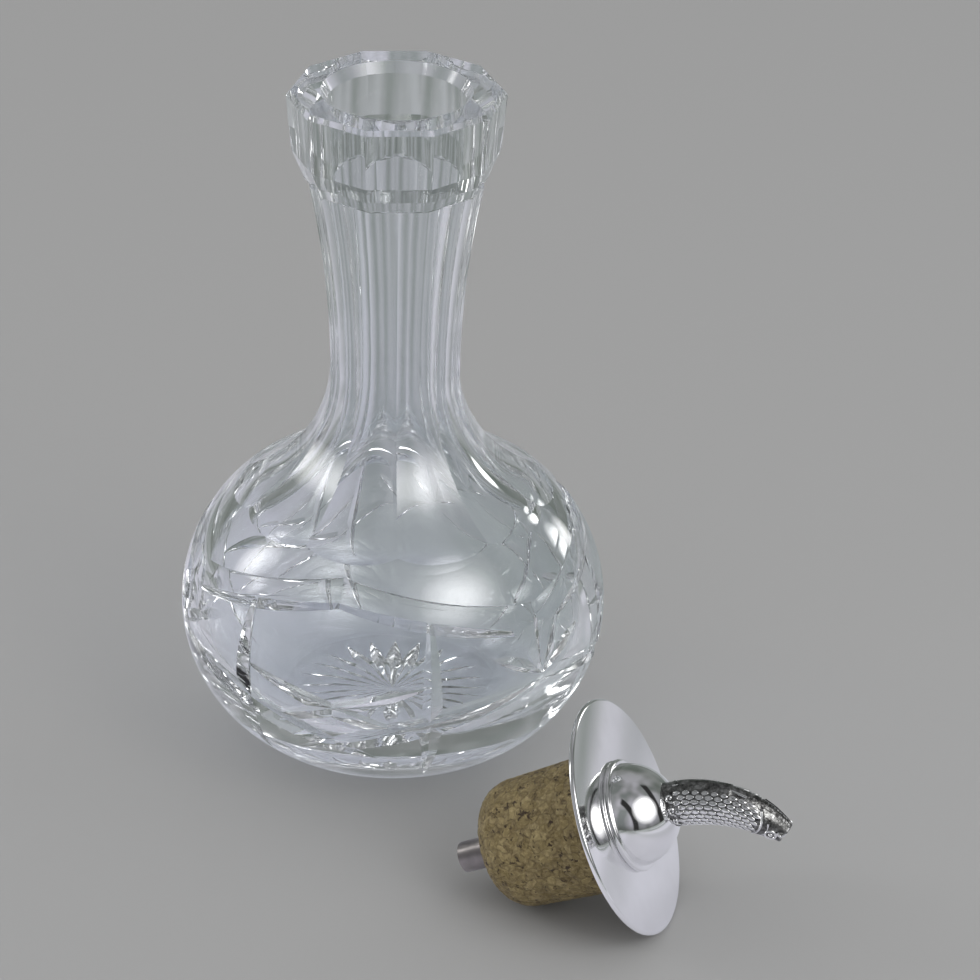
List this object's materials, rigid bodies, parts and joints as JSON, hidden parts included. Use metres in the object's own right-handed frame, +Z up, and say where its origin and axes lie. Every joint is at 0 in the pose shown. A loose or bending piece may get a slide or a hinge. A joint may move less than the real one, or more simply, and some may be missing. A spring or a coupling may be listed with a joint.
{
  "type": "cut crystal decanter",
  "caption": "Globe-shaped cut crystal decanter with a panelled neck and a cork pourer mounted in silver, its spout cast as a fish, lying beside it.",
  "frame": {"origin": "centre of the decanter's foot, on the surface it stands on", "axes": "+Z up the decanter's neck; +X towards the side where the stopper lies; -Y towards the front"},
  "size_m": [0.1192, 0.1351, 0.138],
  "materials": {
    "crystal": "polished wheel-cut lead crystal",
    "cork": "agglomerated cork, granules 1 to 2 mm",
    "tube_metal": "dull drawn tube",
    "silver": "polished silver with fine handling scratches",
    "cast_silver": "cast and oxidised silver, worn bright on the high places"
  },
  "bodies": {
    "decanter": {"decanter_body": "crystal"},
    "stopper": {"cork": "cork", "pour_tube": "tube_metal", "flange_disc": "silver", "step_ring": "silver", "dome": "silver", "fish_spout": "cast_silver"}
  },
  "joints": [
    {"name": "stopper_lift", "type": "slide", "parent": "decanter", "child": "stopper", "axis": [0, 0, 1], "range_m": [0, 0.12]}
  ]
}
